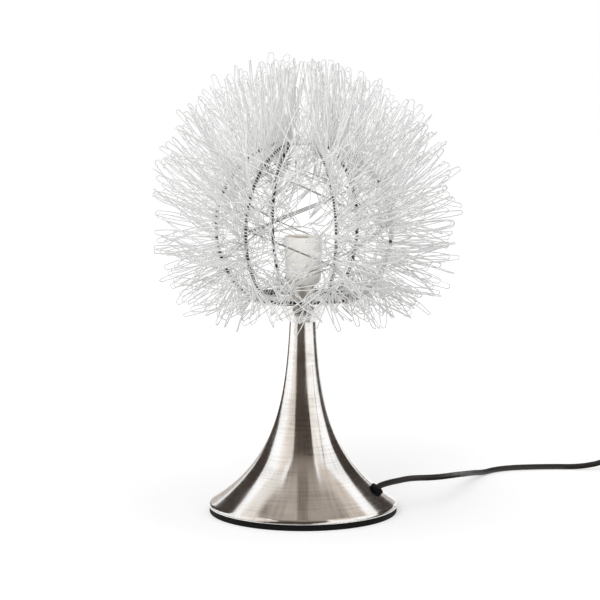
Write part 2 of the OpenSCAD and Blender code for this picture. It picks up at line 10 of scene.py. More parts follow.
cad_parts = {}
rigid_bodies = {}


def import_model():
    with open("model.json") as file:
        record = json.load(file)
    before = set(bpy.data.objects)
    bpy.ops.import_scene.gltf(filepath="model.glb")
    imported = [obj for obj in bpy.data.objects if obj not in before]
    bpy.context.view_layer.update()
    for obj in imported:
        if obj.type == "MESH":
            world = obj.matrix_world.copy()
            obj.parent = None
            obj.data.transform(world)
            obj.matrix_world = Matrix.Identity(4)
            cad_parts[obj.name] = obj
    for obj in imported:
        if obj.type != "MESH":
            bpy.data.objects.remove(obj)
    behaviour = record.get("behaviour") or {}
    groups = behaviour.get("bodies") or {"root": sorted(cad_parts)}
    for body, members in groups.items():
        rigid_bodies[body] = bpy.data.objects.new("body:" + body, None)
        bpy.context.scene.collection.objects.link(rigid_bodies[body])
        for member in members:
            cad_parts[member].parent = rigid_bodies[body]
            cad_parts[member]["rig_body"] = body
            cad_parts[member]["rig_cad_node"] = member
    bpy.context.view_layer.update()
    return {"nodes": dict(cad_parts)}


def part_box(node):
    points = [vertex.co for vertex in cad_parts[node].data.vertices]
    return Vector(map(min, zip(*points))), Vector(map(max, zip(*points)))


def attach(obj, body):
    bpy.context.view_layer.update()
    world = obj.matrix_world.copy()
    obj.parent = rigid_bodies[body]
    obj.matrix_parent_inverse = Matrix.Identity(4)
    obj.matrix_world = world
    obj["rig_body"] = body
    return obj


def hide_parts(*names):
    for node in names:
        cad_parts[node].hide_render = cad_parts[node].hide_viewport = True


bl_info = {
    "name": "Wire ball table lamp",
    "version": (1, 0, 0),
    "blender": (4, 2, 0),
    "location": "3D View > Sidebar > Lamp",
    "description": "Builds the visible pieces of a table lamp with a ball of wire loops",
    "category": "Object",
}

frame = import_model()
NODES = frame["nodes"]
BANDS = ("upper", "middle", "lower")
RIBS = 6
MERGE = 1e-6
EASE_SHARE = 0.45
FLAT_ANGLE = math.radians(1)
EDGE_ANGLE = math.radians(32)
Z_AXIS = Vector((0, 0, 1))


def length(value, words):
    return FloatProperty(name=words, default=value, unit="LENGTH", precision=4)


def turn(degrees, words):
    return FloatProperty(name=words, default=math.radians(degrees), subtype="ANGLE")


def tint(value, words):
    return FloatVectorProperty(name=words, default=value, size=3, min=0, max=1, subtype="COLOR")


def count(value, words):
    return IntProperty(name=words, default=value, min=1)


class LampSizes(bpy.types.PropertyGroup):
    """Lengths and angles of the lamp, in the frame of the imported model."""

    foot_width: length(0.1788, "Across the black foot pad")
    foot_height: length(0.0057, "Thickness of the foot pad")
    rim_width: length(0.180, "Across the rolled lip of the base")
    lip_height: length(0.0041, "Height of the rolled lip")
    lip_step: length(0.0012, "How far the flare starts inside the lip")
    neck_width: length(0.0256, "Across the top of the trumpet")
    neck_height: length(0.1827, "Height of the top of the trumpet")
    flare_length: length(0.0495, "Height over which the flare shrinks by a factor e")
    sheet: length(0.0012, "Thickness of the spun metal")
    dish_width: length(0.108, "Across the rim of the dish")
    dish_height: length(0.0208, "Rise of the dish from the neck to its rim")
    dish_curve: length(0.014, "Height over which the dish opens by a factor e")
    collar_width: length(0.021, "Across the metal collar")
    collar_top: length(0.2172, "Height of the collar's top")
    cap_low_width: length(0.027, "Across the bottom of the lampholder cap")
    cap_width: length(0.034, "Across the top of the lampholder cap")
    cap_top: length(0.2322, "Height of the lampholder cap's top")
    skirt_width: length(0.036, "Across the mouth of the lampholder")
    skirt_top: length(0.2634, "Height of the lampholder's mouth")
    skirt_bore: length(0.0312, "Across the inside of the lampholder")
    shell_bore: length(0.0268, "Across the inside of the screw shell")
    shell_low: length(0.2422, "Height of the screw shell's bottom")
    shell_top: length(0.2614, "Height of the screw shell's top")
    rod: length(0.0028, "Thickness of the cage's rods")
    ring_width: length(0.108, "Across the cage's bottom ring")
    ring_height: length(0.2064, "Height of the bottom ring")
    top_width: length(0.0412, "Across the cage's top ring")
    top_height: length(0.3519, "Height of the top ring")
    rib_radius: length(0.0842, "Radius of a rib's arc")
    rib_offset: length(-0.0007, "Distance of the arc's middle from the lamp's axis")
    rib_height: length(0.2704, "Height of the arc's middle")
    rib_top: turn(75.3, "Angle of a rib's top end above the middle of its arc")
    rib_low: turn(-49.5, "Angle of a rib's bottom end")
    rib_turn: turn(-9, "Angle of the first rib from the X axis")
    ball_height: length(0.2974, "Height of the ball's middle")
    ball_radius: length(0.141, "Reach of the longest loops from the ball's middle")
    wire: length(0.00100, "Thickness of the loop wire")
    lace: length(0.00090, "Thickness of the laced wires")
    loop_width: length(0.0058, "Across a loop's rounded tip")
    cord: length(0.0057, "Thickness of the mains cord")
    coil_radius: length(0.045, "Radius of the coil's outer turn, to the cord's middle")
    coil_step: length(0.0064, "Distance from one turn of the coil to the next")
    flange: length(0.0132, "Across the grommet's flange")
    flange_height: length(0.0032, "Thickness of the grommet's flange")


class LampCounts(bpy.types.PropertyGroup):
    """How many of each repeated thing."""

    loops: count(54, "Loops that start on each rib")
    more: count(64, "Loops that start on the laced wires beside each rib")
    apron: count(12, "Shorter loops low at the front on each front rib")
    spin: count(128, "Facets round a spun piece")
    flare: count(72, "Points along the trumpet's flank")
    seed: count(7, "Start of the random order of the loops")


class LampColours(bpy.types.PropertyGroup):
    """Colours of the materials."""

    nickel: tint((0.94, 0.92, 0.90), "Brushed nickel of the base")
    collar: tint((0.86, 0.81, 0.76), "Metal of the collar")
    rod: tint((0.012, 0.012, 0.012), "Black paint of the cage")
    wire: tint((0.93, 0.932, 0.934), "Bright wire of the loops")
    # The laced wires are the loops' bright wire, painted darker grey: painted shade inside the ball
    laced: tint((0.62, 0.62, 0.63), "Wires laced from rib to rib")
    cream: tint((0.89, 0.873, 0.83), "Plastic of the lampholder")
    rubber: tint((0.005, 0.005, 0.005), "Foot pad and grommet")
    cord: tint((0.018, 0.016, 0.015), "Sheath of the cord")
    plastic: tint((0.016, 0.016, 0.017), "Switch and plug")
    rocker: tint((0.030, 0.030, 0.032), "Rocker of the switch")
    brass: tint((0.72, 0.52, 0.24), "Screw shell and contacts")
    steel: tint((0.60, 0.60, 0.60), "Plated nuts, washers, screws and pins")
    iron: tint((0.09, 0.085, 0.08), "Ballast weight")


class Step:
    """What every step of the build shares."""

    def execute(self, context):
        self.build(context.scene.lamp_sizes, context.scene.lamp_counts)
        return {"FINISHED"}


# Tools for modelling
def deselect():
    if bpy.context.object and bpy.context.object.mode != "OBJECT":
        bpy.ops.object.mode_set(mode="OBJECT")
    bpy.ops.object.select_all(action="DESELECT")


def pick(obj):
    deselect()
    obj.select_set(True)
    bpy.context.view_layer.objects.active = obj


def edit_all():
    bpy.ops.object.mode_set(mode="EDIT")
    bpy.ops.mesh.select_all(action="SELECT")


def closed_up(obj):
    """Merges doubles and turns every face outwards."""
    bpy.context.view_layer.objects.active = obj
    edit_all()
    bpy.ops.mesh.remove_doubles(threshold=MERGE)
    bpy.ops.mesh.normals_make_consistent(inside=False)
    bpy.ops.object.mode_set(mode="OBJECT")


def eased(corners, radius, steps=4):
    """The corners of a profile, each inner one rounded off."""
    line = [Vector(corners[0])]
    for before, here, after in zip(corners, corners[1:], corners[2:]):
        here = Vector(here)
        back = Vector(before) - here
        on = Vector(after) - here
        reach = min(radius, EASE_SHARE * back.length, EASE_SHARE * on.length)
        start = here + back.normalized() * reach
        end = here + on.normalized() * reach
        for i in range(steps + 1):
            t = i / steps
            line.append(start * (1 - t) ** 2 + here * 2 * t * (1 - t) + end * t ** 2)
    line.append(Vector(corners[-1]))
    return line


def spun(name, profile, around=None, sweep=math.tau, start=0.0):
    """Extrudes a profile of (radius, height) points and spins it round the Z axis."""
    deselect()
    bpy.ops.mesh.primitive_plane_add(size=1)
    obj = bpy.context.object
    obj.name = name
    edit_all()
    bpy.ops.mesh.merge(type="CENTER")
    way = Vector((math.cos(start), math.sin(start), 0))
    places = [way * r + Z_AXIS * z for r, z in profile]
    bpy.ops.transform.translate(value=places[0])
    for here, there in zip(places, places[1:]):
        bpy.ops.mesh.extrude_region_move(TRANSFORM_OT_translate={"value": there - here})
    bpy.ops.mesh.select_all(action="SELECT")
    steps = around or bpy.context.scene.lamp_counts.spin
    bpy.ops.mesh.spin(steps=steps, angle=-sweep, center=(0, 0, 0), axis=(0, 0, 1))
    bpy.ops.object.mode_set(mode="OBJECT")
    closed_up(obj)
    return obj


def softened(node, name, width, segments):
    """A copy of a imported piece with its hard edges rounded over."""
    pick(NODES[node])
    bpy.ops.object.duplicate()
    obj = bpy.context.object
    bpy.ops.object.parent_clear(type="CLEAR_KEEP_TRANSFORM")
    obj.name = name
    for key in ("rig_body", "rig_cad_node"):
        if key in obj:
            del obj[key]
    edit_all()
    bpy.ops.mesh.remove_doubles(threshold=MERGE)
    bpy.ops.mesh.dissolve_limited(angle_limit=FLAT_ANGLE)
    bpy.ops.mesh.normals_make_consistent(inside=False)
    bpy.ops.object.mode_set(mode="OBJECT")
    bevel = obj.modifiers.new("Soft edges", "BEVEL")
    bevel.width = width
    bevel.segments = segments
    bevel.limit_method = "ANGLE"
    bevel.angle_limit = EDGE_ANGLE
    bpy.ops.object.modifier_apply(modifier=bevel.name)
    return obj


def new_curve(name, kind, lines, width, resolution, closed=False):
    """A bevelled curve through lines of points."""
    deselect()
    bpy.ops.curve.primitive_bezier_curve_add()
    obj = bpy.context.object
    obj.name = name
    curve = obj.data
    curve.splines.clear()
    curve.dimensions = "3D"
    for line in lines:
        spline = curve.splines.new(kind)
        if kind == "BEZIER":
            spline.bezier_points.add(len(line) - 1)
            for knot, place in zip(spline.bezier_points, line):
                knot.co = place
                knot.handle_left_type = "AUTO"
                knot.handle_right_type = "AUTO"
        else:
            spline.points.add(len(line) - 1)
            for knot, place in zip(spline.points, line):
                knot.co = (*place, 1)
        spline.use_cyclic_u = closed
    curve.bevel_depth = width / 2
    curve.bevel_resolution = resolution
    curve.use_fill_caps = not closed
    return obj


def wire(name, lines, width, resolution=1, closed=False):
    """Wire or rod bent along lines of points, as a mesh."""
    new_curve(name, "POLY", lines, width, resolution, closed)
    bpy.ops.object.convert(target="MESH")
    obj = bpy.context.object
    closed_up(obj)
    return obj


def put(obj, body, material, nodes, angle=40):
    """Finishes a piece: shading, material, the body it moves with and the nodes that it stands for."""
    pick(obj)
    if obj.type == "MESH":
        bpy.ops.object.shade_smooth_by_angle(angle=math.radians(angle))
    obj.data.materials.clear()
    obj.data.materials.append(material)
    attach(obj, body)
    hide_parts(*nodes)
    return obj


def dress(node, material):
    """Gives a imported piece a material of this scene."""
    mesh = NODES[node].data
    mesh.materials.clear()
    mesh.materials.append(material)


# Node groups and materials
def new_group(name, inputs, outputs):
    group = bpy.data.node_groups.new(name, "ShaderNodeTree")
    for label, kind in inputs:
        group.interface.new_socket(label, in_out="INPUT", socket_type=kind)
    for label, kind in outputs:
        group.interface.new_socket(label, in_out="OUTPUT", socket_type=kind)
    return group, group.nodes.new("NodeGroupInput"), group.nodes.new("NodeGroupOutput")


def add(tree, kind, links=None, **settings):
    """A shader node with its settings, and its sockets linked or set."""
    node = tree.nodes.new("ShaderNode" + kind)
    for key, value in settings.items():
        setattr(node, key, value)
    for key, value in (links or {}).items():
        socket = node.inputs[key]
        if isinstance(value, bpy.types.NodeSocket):
            tree.links.new(value, socket)
        else:
            socket.default_value = value
    return node


def maths(tree, operation, first, second):
    return add(tree, "Math", {0: first, 1: second}, operation=operation).outputs[0]


def mapped(tree, value, start, end, low, high):
    return add(tree, "MapRange", {0: value, 1: start, 2: end, 3: low, 4: high}).outputs[0]


def noise(tree, place, scale, detail):
    return add(tree, "TexNoise", {"Vector": place, "Scale": scale, "Detail": detail}).outputs[0]


SURFACE_NUMBERS = ("Spread", "Scale", "Smooth", "Rough", "Bump")
SURFACE_INPUTS = (("Colour", "NodeSocketColor"), *((label, "NodeSocketFloat") for label in SURFACE_NUMBERS))
SURFACE_OUTPUTS = (("Colour", "NodeSocketColor"), ("Roughness", "NodeSocketFloat"),
                   ("Normal", "NodeSocketVector"))
TONE_SPAN = (0.6, 1.4)
WEAR_SPAN = (0.7, 1.3)
RELIEF = 0.0003


def surface_group(name, pattern):
    """A group that turns a pattern of the object's own coordinates into colour, roughness and relief."""
    tree, given, result = new_group(name, SURFACE_INPUTS, SURFACE_OUTPUTS)
    place = add(tree, "TexCoord").outputs["Object"]
    fine, broad = pattern(tree, place, given.outputs["Scale"])
    dark = maths(tree, "SUBTRACT", 1.0, given.outputs["Spread"])
    light = maths(tree, "ADD", 1.0, given.outputs["Spread"])
    both = maths(tree, "ADD", fine, broad)
    tone = mapped(tree, both, *TONE_SPAN, dark, light)
    shade = add(tree, "HueSaturation", {"Value": tone, "Color": given.outputs["Colour"]}).outputs[0]
    worn = mapped(tree, both, *WEAR_SPAN, given.outputs["Smooth"], given.outputs["Rough"])
    strength = given.outputs["Bump"]
    relief = add(tree, "Bump", {"Strength": strength, "Distance": RELIEF, "Height": fine}).outputs[0]
    for label, value in (("Colour", shade), ("Roughness", worn), ("Normal", relief)):
        tree.links.new(value, result.inputs[label])
    return tree


BROAD_GRAIN = 0.06
BROAD_PATCHES = 28.0
RING_WANDER = 1.2
DRAWN_LINES = (14, 24, 1)
DRAWN_SHARE = 0.45
BALL_MIDDLE = (0, 0, 0.305)
# Painted light and shade on the loop wire: its tone falls from lighter near the ball's middle to darker tips
TIP_REACH = (0.105, 0.148)
PAINTED_TIP_TONES = (0.75, 0.05)


def grain_pattern(tree, place, scale):
    broad_scale = maths(tree, "MULTIPLY", scale, BROAD_GRAIN)
    return noise(tree, place, scale, 3.0), noise(tree, place, broad_scale, 2.0)


def turned_pattern(tree, place, scale):
    """Fine rings round the Z axis, as a spun and brushed piece has, crossed by drawn streaks."""
    split = add(tree, "SeparateXYZ", {0: place})
    flat = add(tree, "CombineXYZ", {"X": split.outputs["X"], "Y": split.outputs["Y"]}).outputs[0]
    radius = add(tree, "VectorMath", {0: flat}, operation="LENGTH").outputs["Value"]
    along = maths(tree, "SUBTRACT", split.outputs["Z"], radius)
    rings = maths(tree, "MULTIPLY", along, scale)
    angle = maths(tree, "ARCTAN2", split.outputs["Y"], split.outputs["X"])
    strip = add(tree, "CombineXYZ", {"X": rings, "Y": maths(tree, "MULTIPLY", angle, RING_WANDER)}).outputs[0]
    lines = noise(tree, strip, 1.0, 3.0)
    bare = add(tree, "CombineXYZ", {"X": along, "Y": angle}).outputs[0]
    drawn = add(tree, "VectorMath", {0: bare, 1: DRAWN_LINES}, operation="MULTIPLY").outputs[0]
    streaks = noise(tree, drawn, 1.0, 2.0)
    fine = add(tree, "Mix", {0: DRAWN_SHARE, 2: lines, 3: streaks}).outputs[0]
    return fine, noise(tree, place, BROAD_PATCHES, 2.0)


def wire_patches_and_painted_light(tree, place, scale):
    """Patches along a wire, and painted light. The wire is painted lighter towards the middle of the ball,
    against the shade that the loops cast on each other. It is painted darker at the tips far from the middle,
    as a painted dark reflection.
    """
    out = add(tree, "VectorMath", {0: place, 1: BALL_MIDDLE}, operation="DISTANCE").outputs["Value"]
    return noise(tree, place, scale, 2.0), mapped(tree, out, *TIP_REACH, *PAINTED_TIP_TONES)


def surface(name, group, colour, numbers, settings, tangent=False):
    """A material from a surface group and its numbers; settings are the shader's own constants."""
    material = bpy.data.materials.new(name)
    material.use_nodes = True
    tree = material.node_tree
    shader = tree.nodes["Principled BSDF"]
    for key, value in settings.items():
        shader.inputs[key].default_value = value
    use = add(tree, "Group", node_tree=bpy.data.node_groups[group])
    for key, value in (("Colour", (*colour, 1)), *zip(SURFACE_NUMBERS, numbers)):
        use.inputs[key].default_value = value
    for key, target in (("Colour", "Base Color"), ("Roughness", "Roughness"), ("Normal", "Normal")):
        tree.links.new(use.outputs[key], shader.inputs[target])
    if tangent:
        lay = add(tree, "Tangent", direction_type="RADIAL", axis="Z")
        tree.links.new(lay.outputs[0], shader.inputs["Tangent"])
    material.diffuse_color = (*colour, 1)
    return material


METAL = {"Metallic": 1.0}
BRUSHED = {"Metallic": 1.0, "Anisotropic": 0.65, "Anisotropic Rotation": 0.25}
PAINT = {"Specular IOR Level": 0.45, "Coat Weight": 0.15, "Coat Roughness": 0.25}
PLASTIC = {"Specular IOR Level": 0.45}
RUBBER = {"Specular IOR Level": 0.12}


def make_materials(tints):
    surface_group("Moulded grain", grain_pattern)
    surface_group("Turned rings", turned_pattern)
    surface_group("Wire patches and painted light", wire_patches_and_painted_light)
    grain = "Moulded grain"
    rings = "Turned rings"
    surface("nickel", rings, tints.nickel, (0.36, 340.0, 0.09, 0.22, 0.06), BRUSHED, True)
    surface("collar", rings, tints.collar, (0.08, 2600.0, 0.24, 0.34, 0.04), BRUSHED, True)
    surface("rod_paint", grain, tints.rod, (0.25, 900.0, 0.32, 0.48, 0.12), PAINT)
    # The wire's group paints it lighter near the ball's middle and darker at the tips: painted light and
    # shade
    surface("silver_wire", "Wire patches and painted light", tints.wire, (0.07, 90.0, 0.04, 0.10, 0.05), {"Metallic": 0.36})
    # Painted shade: the laced wires are the same bright wire as the loops, coloured darker
    surface("shaded_laced_wire", grain, tints.laced, (0.10, 300.0, 0.10, 0.20, 0.05), METAL)
    surface("cream", grain, tints.cream, (0.06, 700.0, 0.34, 0.50, 0.06), PLASTIC)
    surface("rubber", grain, tints.rubber, (0.30, 900.0, 0.55, 0.75, 0.25), RUBBER)
    surface("cord", grain, tints.cord, (0.25, 1200.0, 0.36, 0.52, 0.15), PLASTIC)
    surface("plastic", grain, tints.plastic, (0.25, 2200.0, 0.36, 0.52, 0.30), PLASTIC)
    surface("rocker", grain, tints.rocker, (0.20, 1600.0, 0.28, 0.40, 0.10), PLASTIC)
    surface("brass", rings, tints.brass, (0.10, 1500.0, 0.22, 0.42, 0.05), METAL)
    surface("steel", grain, tints.steel, (0.12, 900.0, 0.24, 0.45, 0.10), METAL)
    surface("iron", grain, tints.iron, (0.30, 500.0, 0.55, 0.80, 0.45), {"Metallic": 0.6})


def look(name):
    return bpy.data.materials[name]


# Places on the lamp
def flare_radius(sizes, z):
    low = sizes.foot_height + sizes.lip_height
    neck = sizes.neck_width / 2
    foot = sizes.rim_width / 2 - sizes.lip_step
    rest = math.exp((low - sizes.neck_height) / sizes.flare_length)
    return neck + (foot - neck) * (math.exp((low - z) / sizes.flare_length) - rest) / (1 - rest)


def dish_radius(sizes, rise):
    neck = sizes.neck_width / 2
    rest = math.exp(-sizes.dish_height / sizes.dish_curve)
    grown = math.exp((rise - sizes.dish_height) / sizes.dish_curve)
    return neck + (sizes.dish_width / 2 - neck) * (grown - rest) / (1 - rest)


def polar(radius, angle, z):
    return Vector((radius * math.cos(angle), radius * math.sin(angle), z))


def on_rib(sizes, share, off, side, azimuth):
    """A place by a rib: share of its length from the top, and distances off its middle line."""
    a = sizes.rib_top + (sizes.rib_low - sizes.rib_top) * share
    out = sizes.rib_radius + off
    place = polar(sizes.rib_offset + out * math.cos(a), azimuth, sizes.rib_height + out * math.sin(a))
    return place + polar(side, azimuth + math.pi / 2, 0)


def rib_azimuth(sizes, number):
    return sizes.rib_turn + number * math.tau / RIBS


def between(table, at):
    """The value of a table of (place, value) pairs, read off straight between its rows."""
    for (a, low), (b, high) in zip(table, table[1:]):
        if at <= b:
            return low + (high - low) * (at - a) / (b - a)
    return table[-1][1]


# The stage
CAMERA_PLACE = (-0.003, -2.021, 0.447)
CAMERA_TILT = 83.107
CAMERA_LENS = 129.156
SENSOR = 36.0
FLOOR_SIZE = 9.0
FLOOR_GLOW = (0.39, 0.62)
FLOOR_REACH = (0.13, 0.6)
FLOOR_BOUNCE = 0.68
FLOOR_PLAIN = 0.85
WORLD_LIGHT = 0.64
KEY_PLACE = (-0.5, -1.8, 1.1)
KEY_AIM = Vector((0, 0, 0.2))
KEY_SIZE = 1.2
KEY_POWER = 25
WALL_RADIUS = 0.85
DOME_RADIUS = 3.0
CARD_STEPS = 24
FLOOR_LIFT = 0.001
UNDER_HEIGHT = 0.184
FRONT = -math.pi / 2
DARK = (0.072, 0.058, 0.047)
SIDE_DARK = (0.052, 0.041, 0.035)
BACK_GREY = (0.50, 0.46, 0.43)
# Rows of a wall card: height, and the angles from the front at which the card starts and ends
WALL_CARDS = (
    # A dark ring on the floor round the base that only reflections see: painted shade on the floor, mirrored
    # in the dish
    ("floor_shade_card", (0.10, 0.085, 0.072), ((-0.72, -125, 125), (-0.45, -125, 125))),
    ("front_card", DARK, ((-0.45, -50, 40), (-0.35, -50, 20), (-0.2, -58, 6), (0.0, -58, 6), (0.13, -49, 14),
                          (0.25, -42, 25), (0.43, -36, 32), (0.6, -34, 34.5), (1.0, -34, 37))),
    ("left_card", SIDE_DARK, ((0.0, -160, -140), (0.1, -152, -130), (0.19, -146, -119), (0.25, -148, -114),
                              (0.4, -152, -109.5), (0.49, -156, -110), (0.56, -156, -113), (0.64, -156, -119),
                              (0.76, -150, -132))),
    ("right_card", SIDE_DARK, ((0.0, 74, 104), (0.06, 80, 110), (0.1, 87, 124), (0.16, 93, 140),
                               (0.25, 102, 157), (0.37, 103.5, 157), (0.43, 105.5, 157), (0.49, 109, 157),
                               (0.56, 116, 157), (0.62, 125, 157), (0.67, 137, 157), (0.72, 150, 157))),
    ("grey_card", (0.70, 0.64, 0.58), ((0.13, -57, -49), (0.25, -56, -42), (0.43, -56, -36),
                                       (1.0, -56, -34))),
    ("pale_card", (0.80, 0.74, 0.69), ((0.0, -66, -58), (0.25, -66, -56), (1.0, -66, -56))),
    ("paler_card", (0.89, 0.84, 0.80), ((0.0, -76, -66), (1.0, -76, -66))),
    ("thin_card", (0.35, 0.31, 0.28), ((0.16, 65.5, 68.5), (1.0, 65.5, 68.5))),
    ("warm_card", (0.93, 0.89, 0.84), ((0.13, 14, 60), (0.25, 25, 60), (0.43, 32, 60), (1.0, 37, 60))),
    ("left_back_card", BACK_GREY, ((0.0, -180, -160), (0.1, -180, -151), (0.49, -180, -156),
                                   (0.72, -180, -150))),
    ("right_back_card", BACK_GREY, ((0.1, 150, 180), (0.25, 153, 180), (0.67, 157, 180))),
)
# Rows of a dome card: angle above the floor, and where the card starts and ends
DOME_CARDS = (
    ("low_ceiling_card", (0.25, 0.21, 0.175), ((49, -36, 34), (54, -44, 42), (58, -54, 44), (62, -63, 48))),
    ("ceiling_card", (0.29, 0.245, 0.205), ((62, -63, 48), (66, -74, 54), (70, -88, 64), (74, -110, 90))),
    ("top_front_card", (0.30, 0.255, 0.22), ((74, -110, 90), (90, -110, 90))),
    ("top_back_card", (0.22, 0.185, 0.155), ((74, 90, 250), (90, 90, 250))),
    ("right_roof_card", (0.57, 0.50, 0.44), ((48, 46, 150), (60, 56, 150), (68, 64, 150), (74, 90, 150))),
    ("left_roof_card", (0.76, 0.72, 0.67), ((48, -150, -56), (60, -150, -72), (68, -150, -88),
                                            (74, -150, -110))),
)
# Dark cards under the ball, which the base mirrors, as painted shade of the ball's underside: name, tone, and
# where a sector starts and ends
BALL_SHADE_CARDS = (
    ("under_left", (0.45, 0.40, 0.355), -75, -15),
    ("under_middle", (0.205, 0.172, 0.144), -15, 12),
    ("under_right", (0.34, 0.295, 0.255), 12, 75),
    ("under_back", (0.27, 0.23, 0.195), 75, 285),
)
UNDER_RING = (0.0135, 0.118)


def bare_material(name):
    material = bpy.data.materials.new(name)
    material.use_nodes = True
    material.node_tree.nodes.clear()
    return material, material.node_tree


def glow(name, tone, one_sided):
    """A glow for a card; a one-sided card can't be seen from behind."""
    material, tree = bare_material(name)
    shine = add(tree, "Emission", {"Color": (*tone, 1), "Strength": 1.0}).outputs[0]
    if one_sided:
        clear = add(tree, "BsdfTransparent").outputs[0]
        behind = add(tree, "NewGeometry").outputs["Backfacing"]
        shine = add(tree, "MixShader", {0: behind, 1: shine, 2: clear}).outputs[0]
    add(tree, "OutputMaterial", {"Surface": shine})
    return material


def seen_directly(tree):
    """1 for rays from the camera and for those that metal or glass shows, 0 for the light on the object."""
    path = add(tree, "LightPath")
    some = maths(tree, "MAXIMUM", path.outputs["Is Camera Ray"], path.outputs["Is Glossy Ray"])
    return maths(tree, "MAXIMUM", some, path.outputs["Is Transmission Ray"])


def on_wall(azimuth, height):
    """A place on the wall, or below zero one on the floor that far inside it."""
    return polar(WALL_RADIUS + min(0, height), azimuth, max(FLOOR_LIFT, height))


def under_ball(azimuth, radius):
    return polar(radius, azimuth, UNDER_HEIGHT)


def on_dome(azimuth, rise):
    a = math.radians(rise)
    return polar(DOME_RADIUS * math.cos(a), azimuth, DOME_RADIUS * math.sin(a))


def card(name, tone, rows, place, one_sided=False):
    """Hangs a reflection card that only metal and gloss see."""
    deselect()
    bpy.ops.mesh.primitive_grid_add(x_subdivisions=CARD_STEPS, y_subdivisions=len(rows) - 1)
    obj = bpy.context.object
    obj.name = name
    for number, vertex in enumerate(obj.data.vertices):
        row, step = divmod(number, CARD_STEPS + 1)
        high, start, end = rows[row]
        vertex.co = place(FRONT + math.radians(start + (end - start) * step / CARD_STEPS), high)
    obj.data.materials.append(glow(name, tone, one_sided))
    obj.visible_camera = False
    obj.visible_diffuse = False
    obj.visible_shadow = False
    obj.visible_transmission = False


class LAMP_OT_stage(Step, bpy.types.Operator):
    """Floor, world, lights, reflection cards and camera"""

    bl_idname = "lamp.stage"
    bl_label = "Stage"

    def build(self, sizes, counts):
        scene = bpy.context.scene
        scene.view_settings.view_transform = "Standard"
        world = bpy.data.worlds.new("White room")
        scene.world = world
        world.use_nodes = True
        tree = world.node_tree
        strength = mapped(tree, seen_directly(tree), 0.0, 1.0, WORLD_LIGHT, 1.0)
        back = tree.nodes["Background"]
        back.inputs["Color"].default_value = (1, 1, 1, 1)
        tree.links.new(strength, back.inputs["Strength"])
        self.floor()
        self.cards()
        deselect()
        bpy.ops.object.light_add(type="AREA", location=KEY_PLACE)
        key = bpy.context.object
        key.name = "key_light"
        key.data.size = KEY_SIZE
        key.data.energy = KEY_POWER
        key.rotation_euler = (KEY_AIM - key.location).to_track_quat("-Z", "Y").to_euler()
        key.visible_glossy = False
        bpy.ops.object.camera_add(location=CAMERA_PLACE, rotation=(math.radians(CAMERA_TILT), 0, 0))
        camera = bpy.context.object
        camera.data.sensor_width = SENSOR
        camera.data.lens = CAMERA_LENS
        scene.camera = camera

    def floor(self):
        deselect()
        bpy.ops.mesh.primitive_plane_add(size=FLOOR_SIZE)
        floor = bpy.context.object
        floor.name = "floor"
        material, tree = bare_material("floor")
        place = add(tree, "TexCoord").outputs["Object"]
        far = add(tree, "VectorMath", {0: place}, operation="LENGTH").outputs["Value"]
        rise = mapped(tree, far, *FLOOR_REACH, *FLOOR_GLOW)
        shine = add(tree, "Emission", {"Color": (1, 1, 1, 1), "Strength": rise}).outputs[0]
        faint = add(tree, "BsdfDiffuse", {"Color": (FLOOR_BOUNCE,) * 3 + (1,)}).outputs[0]
        plain = add(tree, "BsdfDiffuse", {"Color": (FLOOR_PLAIN,) * 3 + (1,)}).outputs[0]
        white = add(tree, "AddShader", {0: shine, 1: faint}).outputs[0]
        both = add(tree, "MixShader", {0: seen_directly(tree), 1: plain, 2: white}).outputs[0]
        add(tree, "OutputMaterial", {"Surface": both})
        floor.data.materials.append(material)

    def cards(self):
        for name, tone, rows in WALL_CARDS:
            card(name, tone, rows, on_wall)
        for name, tone, rows in DOME_CARDS:
            card(name, tone, rows, on_dome)
        # Painted shade of the ball's underside, seen only in reflections
        for name, tone, start, end in BALL_SHADE_CARDS:
            card(name, tone, [(radius, start, end) for radius in UNDER_RING], under_ball, True)


# The cord
GROMMET_AT = Vector((0.0688, -0.0159, 0.0230))
GROMMET_OUT = Vector((0.620, -0.143, 0.772)).normalized()
LEAD_START = 0.0012
LEAD_STUB = 0.0047
LEAD_ROUTE = (
    (0.08, -0.017, 0.03), (0.09, -0.0154, 0.032), (0.0986, -0.012, 0.033), (0.1084, -0.0057, 0.0326),
    (0.1185, 0.0035, 0.031), (0.128, 0.016, 0.029), (0.139, 0.037, 0.0257), (0.15, 0.067, 0.0208),
    (0.163, 0.112, 0.0127), (0.175, 0.144, 0.0072), (0.1876, 0.167, 0.0034), (0.2, 0.182, 0.0029),
    (0.216, 0.191, 0.0029), (0.238, 0.196, 0.0029), (0.262, 0.198, 0.0029), (0.288, 0.197, 0.0034),
    (0.305, 0.196, 0.006), (0.3131, 0.196, 0.008), (0.31885, 0.196, 0.008),
)
LINK_ROUTE = (
    (0.38115, 0.196, 0.008), (0.38685, 0.196, 0.008), (0.398, 0.1955, 0.0074), (0.417, 0.188, 0.006),
    (0.43, 0.173, 0.005), (0.437, 0.155, 0.0045), (0.437, 0.1294, 0.00435),
)
TAIL_ROUTE = (
    (0.437, 0.1066, 0.01075), (0.437, 0.096, 0.01), (0.437, 0.078, 0.008), (0.437, 0.06585, 0.00725),
    (0.437, 0.06015, 0.00725),
)
COIL_AT = Vector((0.392, 0.118, 0))
COIL_LOW = 0.00435
COIL_TURNS = 5
COIL_POINTS = 20
INNER_ROUTE = ((0.056, 0.0106), (0.046, 0.01), (0.034, 0.014), (0.022, 0.023), (0.011, 0.035), (0.003, 0.05),
               (0.0, 0.068), (0.0, 0.15), (0.0, 0.2254))
INNER_DEPTH = 0.0045
CORD_STEPS = 6


